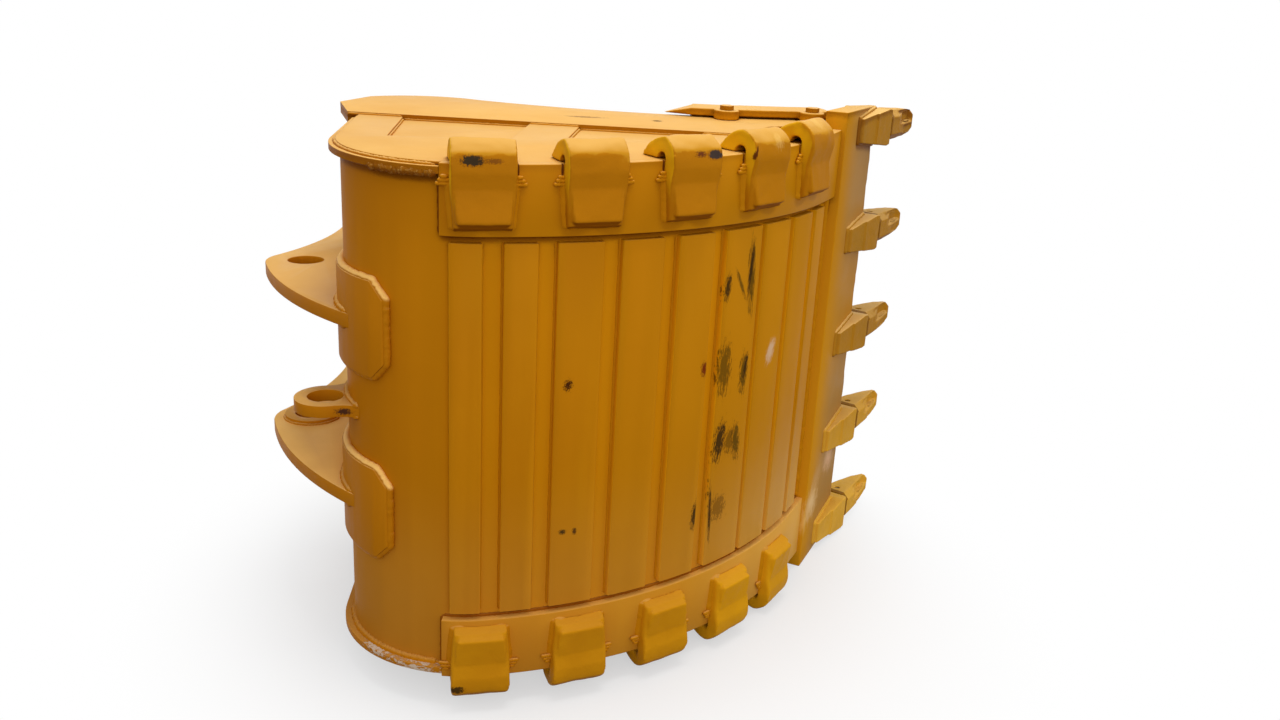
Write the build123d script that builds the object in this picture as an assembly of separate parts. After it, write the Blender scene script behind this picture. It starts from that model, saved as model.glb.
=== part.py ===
from build123d import *
import os
from math import cos, radians, sin, tan

# Excavator rock bucket lying on its side, millimetres.
# X runs along the mouth from the hinge to the teeth, Y out of the mouth, Z along the pins.
# It is drawn about its middle plane and set down on the floor at the end.

# Side profile of the wrapper, run from the lip back round the heel to the hinge
lip_joint = (500, 170)
lip_angle = 66
front_flat = 125
floor_radius = 1170
floor_sweep = 53
heel_radius = 300
heel_sweep = 97
back_length = 638
wrapper_thickness = 25

# Sides, which flare from the heel towards the mouth
heel_half_width = 612
flare_line = -640
side_flare = 2.25
side_thickness = 16
side_overhang = 25
wear_thickness = 8
wear_inset = 15
bar_thickness = 14

# Lip
lip_depth = 320
lip_proud = 38
lip_half_width = 700
lip_bevel_start = 240
lip_edge = 22
side_foot = 165

# Mouth edge of the sides, as points on two arcs that end on the lip
mouth_crown = (-690, 352)
mouth_change = (-505, 328)
mouth_hollow = (-123, 249)

# Side bar and the pockets left beside it in the wear plate
bar_near_line = [(-794, -30), (200, -50), (320, 110)]
bar_horn = (-861, 144)
pocket_front = [(-187, 0), (-205, -260), (60, -200), (150, 0)]
pocket_rear = [(-652, 0), (-618, -336), (-335, -300), (-318, 0)]

# Heel bands and wear strips, placed by distance along the profile from the lip
band_end = 1290
band_thickness = 25
band_inner_z = 465
strip_half_length = 450
strip_thickness = 20
first_strip = 1272
strip_widths = (68, 75, 107, 108, 106, 130, 117, 115, 80)
strip_gaps = (46, 43, 45, 43, 42, 17, 25, 28)

# Heel shrouds
shroud_count = 5
shroud_length = 140
shroud_pitch = 237
first_shroud = 1274
shroud_depth = 64
shroud_crest = 15
shroud_rise = 53
shroud_skirt = 143
shroud_wall = 34
shroud_toe = 20
shroud_draft = 16
shroud_waist = 8
brow_set_in = 5
notch_width = 30
notch_height = 14
notch_at = 9
panel_top = 2
panel_foot = 5
panel_bevel = 13
panel_inset = 10
panel_corner = 15

# Teeth
tooth_count = 5
tooth_set_in = 60
tooth_tilt = 14
tooth_width = 108
tooth_height = 122
tooth_reach = 305
shoulder_at = 54
groove = 7
shoulder_taper = 8
nose_end = 205
nose_base = (54, 96)
nose_tip = (44, 42)
point_width = 92
point_tip = (56, 24)
point_bevel = 20
point_tip_bevel = 9
rib_width = 12
scoop_depth = 8
scoop_edge = 31
strap_start = 130
strap_step_at = 233
strap_step = 5
inner_strap_start = 182
strap_tail_width = 64
strap_tail = 16
tooth_seat = 10
lock_pin_at = 105
lock_pin_radius = 9
lock_pin_length = 82
retainer_radius = 16
retainer_height = 10
socket_clearance = 0.3

# Ears, their pads and the lifting eye, all measured from the back's top corner
ear_inner_z = 210
ear_thickness = 35
ear_foot = 808.2
ear_front_foot = 60
ear_front_waist = (61, 88)
ear_back_waist = (-174, -72)
ear_belly = (-99, -583)
pad_start = 929.2
pad_thickness = 18
pad_overlap = 97
pad_corner = 40
link_pin = (-135, -303)
stick_pin = (-56, 193)
pin_bore = 95
boss_diameter = 150
boss_height = 12
nose_centre = (-123, -307)
nose_radius = 115
eye_end_radius = 110
lift_eye_at = 715.2
lift_eye_out = 54
lift_eye_bore = 86
lift_eye_wall = 31
lift_eye_thickness = 30
lift_eye_foot = 105

# Throat plate that closes the torque box inside the hinge
throat_thickness = 20
throat_depth = 130
throat_length = 300

# Bolt-on side cutters
cutter_thickness = 25
cutter_gap = 5
cutter_proud = 70
cutter_cover = 26
cutter_hook = 15
hook_clearance = 1
cutter_span = (110, 505)
cutter_tip = 20
cutter_bolts_x = (200, 440)
cutter_bolt_set_in = 40
cutter_lobe = 35
bolt_diameter = 22
bolt_head = 34
bolt_head_height = 12.5
washer_diameter = 40
washer_thickness = 3
nut_height = 18
hole_clearance = 1
thread_clearance = 0.1

far = 3000


def outward(angle):
    return Vector(sin(angle), -cos(angle))


class Profile:
    # A chain of straight and round legs; each point is a run along it and an offset outwards
    def __init__(self, start, heading, legs):
        self.legs = []
        at = Vector(*start)
        angle = radians(heading)
        run = 0
        for length, radius in legs:
            self.legs.append((run, length, radius, at, angle))
            at, angle = self.step(at, angle, radius, length)
            run += length
        self.length = run

    def step(self, at, angle, radius, distance):
        if radius is None:
            return at - Vector(cos(angle), sin(angle)) * distance, angle
        turned = angle - distance / radius
        centre = at - outward(angle) * radius
        return centre + outward(turned) * radius, turned

    def leg_at(self, run):
        found = self.legs[0]
        for leg in self.legs:
            if run > leg[0]:
                found = leg
        return found

    def place(self, run):
        start, length, radius, at, angle = self.leg_at(run)
        return self.step(at, angle, radius, run - start)

    def angle(self, run):
        return self.place(run)[1]

    def point(self, run, offset=0):
        at, angle = self.place(run)
        return at + outward(angle) * offset

    def edges(self, run_a, run_b, offset):
        low, high = min(run_a, run_b), max(run_a, run_b)
        stops = [low] + [leg[0] for leg in self.legs if low < leg[0] < high] + [high]
        made = []
        for a, b in zip(stops, stops[1:]):
            middle = (a + b) / 2
            ends = [self.point(a, offset), self.point(b, offset)]
            if run_a > run_b:
                ends.reverse()
            if self.leg_at(middle)[2] is None:
                made.append(Line(*ends))
            else:
                made.append(ThreePointArc(ends[0], self.point(middle, offset), ends[1]))
        if run_a > run_b:
            made.reverse()
        return made

    def ribbon(self, run_a, run_b, offset_a, offset_b):
        lower = self.edges(run_a, run_b, offset_a)
        upper = self.edges(run_b, run_a, offset_b)
        ends = [
            Line(self.point(run_b, offset_a), self.point(run_b, offset_b)),
            Line(self.point(run_a, offset_b), self.point(run_a, offset_a)),
        ]
        return make_face(lower + [ends[0]] + upper + [ends[1]])

    def polygon(self, corners):
        return outline([self.point(run, offset) for run, offset in corners])


profile = Profile(
    lip_joint,
    lip_angle,
    [
        (front_flat, None),
        (floor_radius * radians(floor_sweep), floor_radius),
        (heel_radius * radians(heel_sweep), heel_radius),
        (back_length, None),
    ],
)
back_top = profile.length
lip_inner = -wrapper_thickness


def outline(points):
    return make_face(Polyline(*points, close=True))


def upright(face, low=-far, high=far):
    return Pos(0, 0, low) * extrude(face, amount=high - low, dir=(0, 0, 1))


# Height of the flared outer face of the side plate above the middle plane
def side_height(y, above=0):
    return heel_half_width + above + (y - flare_line) * tan(radians(side_flare))


def flared_slab(low, high):
    corners = [
        (-far, side_height(-far, low)),
        (far, side_height(far, low)),
        (far, side_height(far, high)),
        (-far, side_height(-far, high)),
    ]
    return extrude(Plane.YZ * outline(corners), amount=far, both=True)


def side_layer(face, low, high):
    return upright(face) & flared_slab(low, high)


def lower_twin(shape):
    return mirror(shape, about=Plane.XY)


# A plane on a flared layer, with its normal square to the side
def side_plane(x, y, above):
    return Plane(
        origin=(x, y, side_height(y, above)),
        x_dir=(1, 0, 0),
        z_dir=(0, -sin(radians(side_flare)), cos(radians(side_flare))),
    )


parts = {}


def both_sides(name, shape):
    parts[name + "_upper"] = shape
    parts[name + "_lower"] = lower_twin(shape)


# Wrapper and lip
inside_walls = extrude(
    Plane.YZ
    * outline(
        [
            (-far, side_height(-far, -side_thickness)),
            (far, side_height(far, -side_thickness)),
            (far, -side_height(far, -side_thickness)),
            (-far, -side_height(-far, -side_thickness)),
        ]
    ),
    amount=far,
    both=True,
)
parts["wrapper"] = upright(profile.ribbon(0, back_top, lip_inner, 0)) & inside_walls

lip_face = profile.polygon(
    [
        (0, lip_inner),
        (-lip_bevel_start, lip_inner),
        (-lip_depth, lip_proud - lip_edge),
        (-lip_depth, lip_proud),
        (0, lip_proud),
    ]
)
parts["lip"] = upright(lip_face, -lip_half_width, lip_half_width)

# Sides: plate, wear plate with its two pockets, and side bar
mouth_rear = profile.point(back_top, side_overhang)
mouth_front = profile.point(-side_foot, lip_inner)
mouth_edges = [
    ThreePointArc(mouth_rear, mouth_crown, mouth_change),
    ThreePointArc(mouth_change, mouth_hollow, mouth_front),
]
side_face = make_face(
    [
        Line(mouth_front, profile.point(0, lip_inner)),
        Line(profile.point(0, lip_inner), profile.point(0, 0)),
    ]
    + profile.edges(0, band_end, 0)
    + [Line(profile.point(band_end, 0), profile.point(band_end, side_overhang))]
    + profile.edges(band_end, back_top, side_overhang)
    + mouth_edges
)
bar_face = make_face(
    mouth_edges
    + Polyline(
        mouth_front,
        profile.point(0, lip_inner),
        *reversed(bar_near_line),
        bar_horn,
        mouth_rear,
    ).edges()
)
wear_edge = side_overhang - wear_inset
wear_face = (
    make_face(
        [Line(profile.point(0, lip_inner), profile.point(0, 0))]
        + profile.edges(0, band_end, 0)
        + [Line(profile.point(band_end, 0), profile.point(band_end, wear_edge))]
        + profile.edges(band_end, back_top, wear_edge)
        + [Line(profile.point(back_top, wear_edge), profile.point(0, lip_inner))]
    )
    - bar_face
)
wear_face = wear_face.faces().sort_by(Axis.Y)[0]
for pocket in (pocket_front, pocket_rear):
    wear_face = wear_face - outline(pocket)

# Bolted side cutter, following the hollow of the mouth edge
hollow_arc = mouth_edges[1]
hollow_centre = hollow_arc.arc_center
hollow_radius = hollow_arc.radius


# A point at x across the bucket, set in from the mouth edge by a distance
def mouth_point(x, set_in):
    along = (hollow_radius**2 - (x - hollow_centre.X) ** 2) ** 0.5
    spoke = Vector(x - hollow_centre.X, -along) / hollow_radius
    return hollow_centre + spoke * (hollow_radius + set_in)


def mouth_arc(x_a, x_b, set_in):
    return ThreePointArc(
        mouth_point(x_a, set_in),
        mouth_point((x_a + x_b) / 2, set_in),
        mouth_point(x_b, set_in),
    )


cutter_near, cutter_end = cutter_span
cutter_face = make_face(
    [
        Line(mouth_point(cutter_tip, 0), mouth_point(cutter_near, -cutter_proud)),
        mouth_arc(cutter_near, cutter_end, -cutter_proud),
        Line(mouth_point(cutter_end, -cutter_proud), mouth_point(cutter_end, cutter_cover)),
        mouth_arc(cutter_end, cutter_near, cutter_cover),
        Line(mouth_point(cutter_near, cutter_cover), mouth_point(cutter_tip, 0)),
    ]
)
bolt_points = [mouth_point(x, cutter_bolt_set_in) for x in cutter_bolts_x]
cutter_top = bar_thickness + cutter_thickness
lobes = Sketch() + [Pos(at.X, at.Y) * Circle(cutter_lobe) for at in bolt_points]
cutter = side_layer(cutter_face, bar_thickness + cutter_gap, cutter_top)
cutter = cutter + side_layer(lobes, bar_thickness, cutter_top)
hook_face = make_face(
    [
        Line(mouth_point(cutter_near, -hook_clearance), mouth_point(cutter_near, -cutter_proud)),
        mouth_arc(cutter_near, cutter_end, -cutter_proud),
        Line(mouth_point(cutter_end, -cutter_proud), mouth_point(cutter_end, -hook_clearance)),
        mouth_arc(cutter_end, cutter_near, -hook_clearance),
    ]
)
cutter = cutter + side_layer(hook_face, bar_thickness - cutter_hook, bar_thickness + cutter_gap + 1)
tip = mouth_point(cutter_tip, 0)
tip_height = side_height(tip.Y, bar_thickness)
tip_slope = outline(
    [
        (cutter_tip - far, tip_height + cutter_gap),
        (cutter_tip, tip_height + cutter_gap),
        (cutter_near, tip_height + cutter_thickness),
        (cutter_near, tip_height + far),
        (cutter_tip - far, tip_height + far),
    ]
)
cutter = cutter - extrude(Plane.XZ * tip_slope, amount=far, both=True)

side_plate = side_layer(side_face, -side_thickness, 0)
side_bar = side_layer(bar_face, 0, bar_thickness)
bolts = []
nuts = []
washers = []
stack = side_thickness + bar_thickness + cutter_thickness
for at in bolt_points:
    top = side_plane(at.X, at.Y, bar_thickness + cutter_thickness)
    hole = top * Pos(0, 0, -far / 2) * extrude(Circle(bolt_diameter / 2 + hole_clearance), far)
    side_plate = side_plate - hole
    side_bar = side_bar - hole
    cutter = cutter - hole
    ring = Circle(washer_diameter / 2) - Circle(bolt_diameter / 2 + hole_clearance)
    under_nut = stack + washer_thickness
    shank = under_nut + nut_height + 4
    washers.append(top * Pos(0, 0, -under_nut) * extrude(ring, washer_thickness))
    head = extrude(RegularPolygon(bolt_head / 2, 6, major_radius=False), bolt_head_height)
    stem = Pos(0, 0, -shank) * extrude(Circle(bolt_diameter / 2), shank)
    bolts.append(top * (head + stem))
    nut = RegularPolygon(bolt_head / 2, 6, major_radius=False) - Circle(bolt_diameter / 2 + thread_clearance)
    nuts.append(top * Pos(0, 0, -under_nut - nut_height) * extrude(nut, nut_height))

both_sides("side_plate", side_plate)
both_sides("side_bar", side_bar)
both_sides("side_wear_plate", side_layer(wear_face, 0, wear_thickness))
both_sides("side_cutter", cutter)
for name, group in (("cutter_bolts", bolts), ("cutter_nuts", nuts), ("cutter_washers", washers)):
    parts[name] = Compound(children=group + [lower_twin(one) for one in group])

# Heel bands along both corners and the wear strips between them
band_room = extrude(
    Plane.YZ
    * outline(
        [
            (-far, band_inner_z),
            (far, band_inner_z),
            (far, side_height(far, wear_thickness)),
            (-far, side_height(-far, wear_thickness)),
        ]
    ),
    amount=far,
    both=True,
)
both_sides("heel_band", upright(profile.ribbon(0, band_end, 0, band_thickness)) & band_room)

run = first_strip
for index, width in enumerate(strip_widths):
    strip = profile.ribbon(run - width, run, 0, strip_thickness)
    parts[f"wear_strip_{index + 1}"] = upright(strip, -strip_half_length, strip_half_length)
    run -= width
    if index < len(strip_gaps):
        run -= strip_gaps[index]


# Cast shroud over the edge of the bucket, cut to sit on the band and the wear plate
def shroud(centre):
    at, angle = profile.place(centre)
    out = outward(angle)
    forward = (cos(angle), sin(angle), 0)
    back = (-cos(angle), -sin(angle), 0)
    base = (at.X, at.Y, side_height(at.Y, wear_thickness))
    across = Plane(origin=base, x_dir=(out.X, out.Y, 0), z_dir=back)
    facing = Plane(origin=base, x_dir=forward, z_dir=(out.X, out.Y, 0))
    front = band_thickness + shroud_wall
    ankle = -0.4 * shroud_skirt
    section = make_face(
        Polyline(
            (band_thickness, -shroud_skirt),
            (front - 0.3 * shroud_wall, 10 - shroud_skirt),
            (front - shroud_waist, ankle),
            (front, -0.12 * shroud_skirt),
        ).edges()
        + [
            ThreePointArc(
                (front, -0.12 * shroud_skirt),
                (front - 0.3 * brow_set_in, 0.1 * shroud_rise),
                (front - brow_set_in, 0.46 * shroud_rise),
            ),
            ThreePointArc(
                (front - brow_set_in, 0.46 * shroud_rise),
                ((front - brow_set_in + shroud_crest) / 2 + 2, 0.78 * shroud_rise),
                (shroud_crest, shroud_rise),
            ),
            ThreePointArc(
                (shroud_crest, shroud_rise),
                (-0.44 * shroud_depth, 0.71 * shroud_rise),
                (-shroud_depth, 0),
            ),
        ]
        + Polyline(
            (-shroud_depth, 0),
            (-shroud_depth, -20),
            (0, -20),
            (0, -shroud_skirt),
            (band_thickness, -shroud_skirt),
        ).edges()
    )
    half = shroud_length / 2
    toe = half - shroud_toe
    front_view = outline(
        [
            (-half, 2 * shroud_rise),
            (half, 2 * shroud_rise),
            (half, ankle),
            (toe, -2 * shroud_skirt),
            (-toe, -2 * shroud_skirt),
            (-half, ankle),
        ]
    )
    foot = 9 - shroud_skirt
    panel = outline(
        [
            (front - shroud_waist - 10, ankle + 7),
            (front - shroud_waist + panel_top, ankle + 3),
            (front + panel_foot, foot + panel_bevel),
            (front - 14, foot),
        ]
    )
    side = half - panel_inset
    panel_view = outline(
        [
            (-side, shroud_rise),
            (side, shroud_rise),
            (side, foot + panel_corner),
            (side - panel_corner, foot),
            (panel_corner - side, foot),
            (-side, foot + panel_corner),
        ]
    )
    raised = extrude(across * panel, amount=side, both=True)
    body = extrude(across * section, amount=half, both=True)
    body = body + (raised & extrude(facing * panel_view, amount=far, both=True))
    body = body & extrude(facing * front_view, amount=far, both=True)
    # each side of the skirt leans in, most of all at its foot
    for turn in (1, -1):
        low = Vector(turn * half, -shroud_skirt, band_thickness)
        foot_edge = Vector(turn * (half - shroud_draft), -shroud_skirt, front)
        top_edge = Vector(turn * half, 0.2 * shroud_rise, front)
        leaning = (foot_edge - low).cross(top_edge - low)
        if leaning.X * turn < 0:
            leaning = leaning * -1
        lean_plane = Plane(origin=low, z_dir=leaning)
        beyond = lean_plane * Box(far, far, far, align=(Align.CENTER, Align.CENTER, Align.MIN))
        body = body - facing.location * beyond
    corner = profile.ribbon(
        centre - shroud_length, centre + shroud_length, -shroud_depth - 60, band_thickness
    )
    body = body - (upright(corner) & flared_slab(-far / 10, wear_thickness))
    tunnel = Pos(notch_at, 0) * SlotOverall(notch_width, 2 * notch_height)
    return body - extrude(across * tunnel, amount=shroud_length, both=True)


for index in range(shroud_count):
    centre = first_shroud - shroud_length / 2 - index * shroud_pitch
    casting = shroud(centre)
    parts[f"shroud_upper_{index + 1}"] = casting
    parts[f"shroud_lower_{index + 1}"] = lower_twin(casting)

# Teeth: adapter welded over the lip, point on its nose, lock pin and retainer
tooth_heading = radians(lip_angle - tooth_tilt)
tooth_forward = Vector(cos(tooth_heading), sin(tooth_heading))
tooth_out = outward(tooth_heading)
tooth_origin = profile.point(-lip_depth, tooth_seat)


# Corners of a section square to the tooth, with bevelled corners if a bevel is given
def tooth_corners(reach, width, height, bevel=0):
    at = tooth_origin + tooth_forward * reach
    plane = Plane(
        origin=(at.X, at.Y, 0),
        x_dir=(0, 0, 1),
        z_dir=(tooth_forward.X, tooth_forward.Y, 0),
    )
    x, y = width / 2, height / 2
    corners = []
    for turn_x, turn_y in ((1, 1), (-1, 1), (-1, -1), (1, -1)):
        near = [(turn_x * x, turn_y * (y - bevel)), (turn_x * (x - bevel), turn_y * y)]
        if turn_x != turn_y:
            near.reverse()
        corners += near if bevel else near[:1]
    return [plane.from_local_coords(Vector(*corner, 0)) for corner in corners]


# A solid through sections whose sides are parallel, so that every face is plane
def plane_loft(sections):
    faces = [outline(sections[0]).face(), outline(sections[-1]).face()]
    for lower, upper in zip(sections, sections[1:]):
        for index in range(len(lower)):
            after = (index + 1) % len(lower)
            faces.append(outline([lower[index], lower[after], upper[after], upper[index]]).face())
    return Solid(Shell(faces))


def nose_size(reach):
    share = (reach - shoulder_at) / (nose_end - shoulder_at)
    return [a + (b - a) * share for a, b in zip(nose_base, nose_tip)]


def nose_block(start, end, clearance):
    ends = []
    for reach in (start, end):
        width, height = nose_size(reach)
        ends.append(tooth_corners(reach, width + 2 * clearance, height + 2 * clearance))
    return plane_loft(ends)


shoulder = tooth_origin + tooth_forward * shoulder_at
adapter_face = outline(
    [
        profile.point(-strap_start, lip_proud),
        profile.point(-strap_start - 6, lip_proud + strap_tail),
        profile.point(-strap_step_at, lip_proud + strap_tail + 14),
        profile.point(-strap_step_at - 1, lip_proud + strap_tail + 14 + strap_step),
        profile.point(-lip_depth - 18, lip_proud + 50),
        shoulder + tooth_out * (tooth_height / 2),
        shoulder - tooth_out * (tooth_height / 2),
        profile.point(-lip_depth - 30, lip_inner - 31),
        profile.point(-inner_strap_start - 8, lip_inner - strap_tail),
        profile.point(-inner_strap_start, lip_inner),
    ]
)
lip_plane = Plane(
    origin=(lip_joint[0], lip_joint[1], 0),
    x_dir=(cos(radians(lip_angle)), sin(radians(lip_angle)), 0),
    z_dir=(sin(radians(lip_angle)), -cos(radians(lip_angle)), 0),
)
half_tail = strap_tail_width / 2
half_tooth = tooth_width / 2
plan_face = outline(
    [
        (strap_start - 20, half_tail),
        (lip_depth, half_tooth),
        (lip_depth + shoulder_at, half_tooth - shoulder_taper),
        (2 * lip_depth, half_tooth - shoulder_taper),
        (2 * lip_depth, shoulder_taper - half_tooth),
        (lip_depth + shoulder_at, shoulder_taper - half_tooth),
        (lip_depth, -half_tooth),
        (strap_start - 20, -half_tail),
    ]
)
adapter = upright(adapter_face, -tooth_width, tooth_width)
adapter = adapter & extrude(lip_plane * plan_face, amount=far, both=True)
adapter = adapter - parts["lip"] + nose_block(shoulder_at - 4, nose_end, 0)

point_sizes = [
    (shoulder_at + groove, point_width, tooth_height, point_bevel),
    (150, 0.98 * point_width, 0.8 * tooth_height, point_bevel),
    (235, 0.91 * point_width, 0.48 * tooth_height, 0.7 * point_bevel),
    (tooth_reach - 15, 0.78 * point_width, point_tip[1] + 8, point_tip_bevel),
    (tooth_reach, point_tip[0], point_tip[1], point_tip_bevel),
]
point = plane_loft([tooth_corners(*size) for size in point_sizes])
point = point - nose_block(shoulder_at - 4, nose_end + socket_clearance, socket_clearance)


# A place in the upright middle plane of a tooth
def tooth_point(reach, rise):
    return tooth_origin + tooth_forward * reach + tooth_out * rise


# Scoops on both faces of the point, which leave a rib down its middle
for side in (1, -1):
    scoop = outline(
        [
            tooth_point(168, side * 0.39 * tooth_height),
            tooth_point(230, side * (0.22 * tooth_height - scoop_depth)),
            tooth_point(tooth_reach - 12, side * (point_tip[1] / 2 - 1)),
            tooth_point(tooth_reach, side * (point_tip[1] / 2 + 1)),
            tooth_point(230, side * 0.5 * tooth_height),
        ]
    )
    for low, high in ((rib_width / 2, scoop_edge), (-scoop_edge, -rib_width / 2)):
        point = point - upright(scoop, low, high)

pin_centre = tooth_origin + tooth_forward * lock_pin_at
pin_place = Pos(pin_centre.X, pin_centre.Y, 0)
pin_hole = pin_place * Cylinder(lock_pin_radius + socket_clearance, 2 * tooth_width)
retainer_floor = nose_size(lock_pin_at)[0] / 2 - retainer_height - 2
retainer_place = pin_place * Pos(0, 0, retainer_floor)
retainer_room = extrude(RegularPolygon(retainer_radius + socket_clearance, 8, major_radius=False), tooth_width)
retainer_ring = RegularPolygon(retainer_radius, 8, major_radius=False)
retainer_ring = retainer_ring - Circle(lock_pin_radius + socket_clearance)
adapter = adapter - pin_hole - retainer_place * retainer_room
point = point - pin_hole
lock_pin = pin_place * Cylinder(lock_pin_radius, lock_pin_length)
retainer = retainer_place * extrude(retainer_ring, retainer_height)
lock_pins = []
retainers = []
tooth_pitch = 2 * (lip_half_width - tooth_set_in) / (tooth_count - 1)
for index in range(tooth_count):
    level = Pos(0, 0, ((tooth_count - 1) / 2 - index) * tooth_pitch)
    parts[f"adapter_{index + 1}"] = level * adapter
    parts[f"point_{index + 1}"] = level * point
    lock_pins.append(level * lock_pin)
    retainers.append(level * retainer)
parts["lock_pins"] = Compound(children=lock_pins)
parts["pin_retainers"] = Compound(children=retainers)

# Throat plate, bent to close a torque box at the top of the back
throat_slope = (throat_depth**2 + throat_length**2) ** 0.5
throat_shift = throat_thickness * throat_slope / throat_depth
inner_bend = lip_inner - (throat_length - throat_shift - throat_thickness) * throat_depth / throat_length
throat_face = profile.polygon(
    [
        (back_top, lip_inner),
        (back_top, lip_inner - throat_depth),
        (back_top - throat_length, lip_inner),
        (back_top - throat_length + throat_shift, lip_inner),
        (back_top - throat_thickness, inner_bend),
        (back_top - throat_thickness, lip_inner),
    ]
)
parts["throat_plate"] = upright(throat_face) & inside_walls


# Ears on their pads, with a boss ring round each pin hole
def on_circle(centre, radius, angle):
    return Vector(*centre) + Vector(radius * cos(radians(angle)), radius * sin(radians(angle)))


def from_hinge(offset):
    return profile.point(back_top) + Vector(*offset)


ear_top = ear_inner_z + ear_thickness
ear_nose = from_hinge(nose_centre)
ear_eye = from_hinge(stick_pin)
nose_start = on_circle(ear_nose, nose_radius, 165)
nose_stop = on_circle(ear_nose, nose_radius, 205)
eye_right = on_circle(ear_eye, eye_end_radius, 0)
eye_left = on_circle(ear_eye, eye_end_radius, 190)
ear_front = profile.point(back_top, lip_inner - ear_front_foot)
ear_face = make_face(
    profile.edges(back_top - ear_foot, back_top, pad_thickness)
    + [
        Line(profile.point(back_top, pad_thickness), ear_front),
        ThreePointArc(ear_front, from_hinge(ear_front_waist), eye_right),
        ThreePointArc(eye_right, on_circle(ear_eye, eye_end_radius, 95), eye_left),
        ThreePointArc(eye_left, from_hinge(ear_back_waist), nose_start),
        ThreePointArc(nose_start, on_circle(ear_nose, nose_radius, 185), nose_stop),
        ThreePointArc(nose_stop, from_hinge(ear_belly), profile.point(back_top - ear_foot, pad_thickness)),
    ]
)
bosses = []
for centre in (from_hinge(link_pin), ear_eye):
    ear_face = ear_face - Pos(centre) * Circle(pin_bore / 2)
    ring = Pos(centre) * (Circle(boss_diameter / 2) - Circle(pin_bore / 2))
    bosses.append(upright(ring, ear_inner_z - boss_height, ear_inner_z))
both_sides("ear", upright(ear_face, ear_inner_z, ear_top))
parts["pin_bosses"] = Compound(children=bosses + [lower_twin(one) for one in bosses])

pad_face = profile.ribbon(back_top - pad_start, back_top, 0, pad_thickness)
pad = upright(pad_face, ear_inner_z - pad_overlap, ear_top + pad_overlap)
pad_end = profile.point(back_top - pad_start, pad_thickness / 2)
end_edges = [
    edge
    for edge in pad.edges()
    if abs(edge.length - pad_thickness) < 0.01
    and abs(edge.center().X - pad_end.X) < 1
    and abs(edge.center().Y - pad_end.Y) < 1
]
both_sides("ear_pad", chamfer(end_edges, pad_corner))

# Lifting eye on the heel, midway between the ears
eye_run = back_top - lift_eye_at
eye_at, eye_angle = profile.place(eye_run)
eye_out = outward(eye_angle)
eye_plane = Plane(origin=(eye_at.X, eye_at.Y, 0), x_dir=(eye_out.X, eye_out.Y, 0), z_dir=(0, 0, 1))
eye_radius = lift_eye_bore / 2 + lift_eye_wall
neck = on_circle((lift_eye_out, 0), eye_radius, 100)
foot_face = make_face(
    [
        ThreePointArc(neck, (24, eye_radius), (-24, lift_eye_foot)),
        Line((-24, lift_eye_foot), (-60, lift_eye_foot)),
        Line((-60, lift_eye_foot), (-60, -lift_eye_foot)),
        Line((-60, -lift_eye_foot), (-24, -lift_eye_foot)),
        ThreePointArc((-24, -lift_eye_foot), (24, -eye_radius), (neck.X, -neck.Y)),
        Line((neck.X, -neck.Y), neck),
    ]
)
eye_face = foot_face + Pos(lift_eye_out, 0) * Circle(eye_radius)
eye_face = eye_face - Pos(lift_eye_out, 0) * Circle(lift_eye_bore / 2)
half_eye = lift_eye_thickness / 2
lifting_eye = upright(eye_plane * eye_face, -half_eye, half_eye)
shell_room = upright(profile.ribbon(eye_run - 200, eye_run + 200, -120, 0))
parts["lifting_eye"] = lifting_eye - shell_room

# Set the bucket down on the floor with the origin under the middle of its box
boxes = [shape.bounding_box() for shape in parts.values()]
middle_x = (min(b.min.X for b in boxes) + max(b.max.X for b in boxes)) / 2
middle_y = (min(b.min.Y for b in boxes) + max(b.max.Y for b in boxes)) / 2
floor_z = min(b.min.Z for b in boxes)
os.makedirs("parts", exist_ok=True)
for name, shape in parts.items():
    export_step(Pos(-middle_x, -middle_y, -floor_z) * shape, f"parts/{name}.step")
print("moved by", -middle_x, -middle_y, -floor_z)
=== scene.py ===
import math

import bmesh
import bpy
from mathutils import Matrix, Vector, noise


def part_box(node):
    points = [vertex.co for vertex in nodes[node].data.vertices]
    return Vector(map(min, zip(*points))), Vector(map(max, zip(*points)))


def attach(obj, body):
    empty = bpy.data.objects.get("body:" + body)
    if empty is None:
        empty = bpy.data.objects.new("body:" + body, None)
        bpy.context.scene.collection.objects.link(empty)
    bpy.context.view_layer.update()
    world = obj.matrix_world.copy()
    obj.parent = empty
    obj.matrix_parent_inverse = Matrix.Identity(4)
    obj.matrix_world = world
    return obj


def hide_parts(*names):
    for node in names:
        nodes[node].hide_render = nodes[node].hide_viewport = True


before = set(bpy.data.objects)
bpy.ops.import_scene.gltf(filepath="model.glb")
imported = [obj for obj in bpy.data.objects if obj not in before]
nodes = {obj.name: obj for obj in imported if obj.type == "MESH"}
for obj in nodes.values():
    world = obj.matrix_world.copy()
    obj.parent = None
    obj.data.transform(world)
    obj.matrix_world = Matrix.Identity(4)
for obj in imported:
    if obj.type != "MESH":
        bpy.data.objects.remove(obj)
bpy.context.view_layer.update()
print("frame loaded with", len(nodes), "nodes")

# from the bucket's own middle plane and mouth line to the model's origin
shift = Vector((0.09525, -0.01191, 0.7))

# camera at the viewpoint of the photograph
viewpoint = {
    "place": Vector((0, -2.9, 0.9538)) + shift,
    "pitch": 0.3164,  # radians below level
    "roll": -0.0543,
    "focalPixels": 1086.64,
    "imageWidth": 1280,
    "sensor": 36.0,
}


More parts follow.
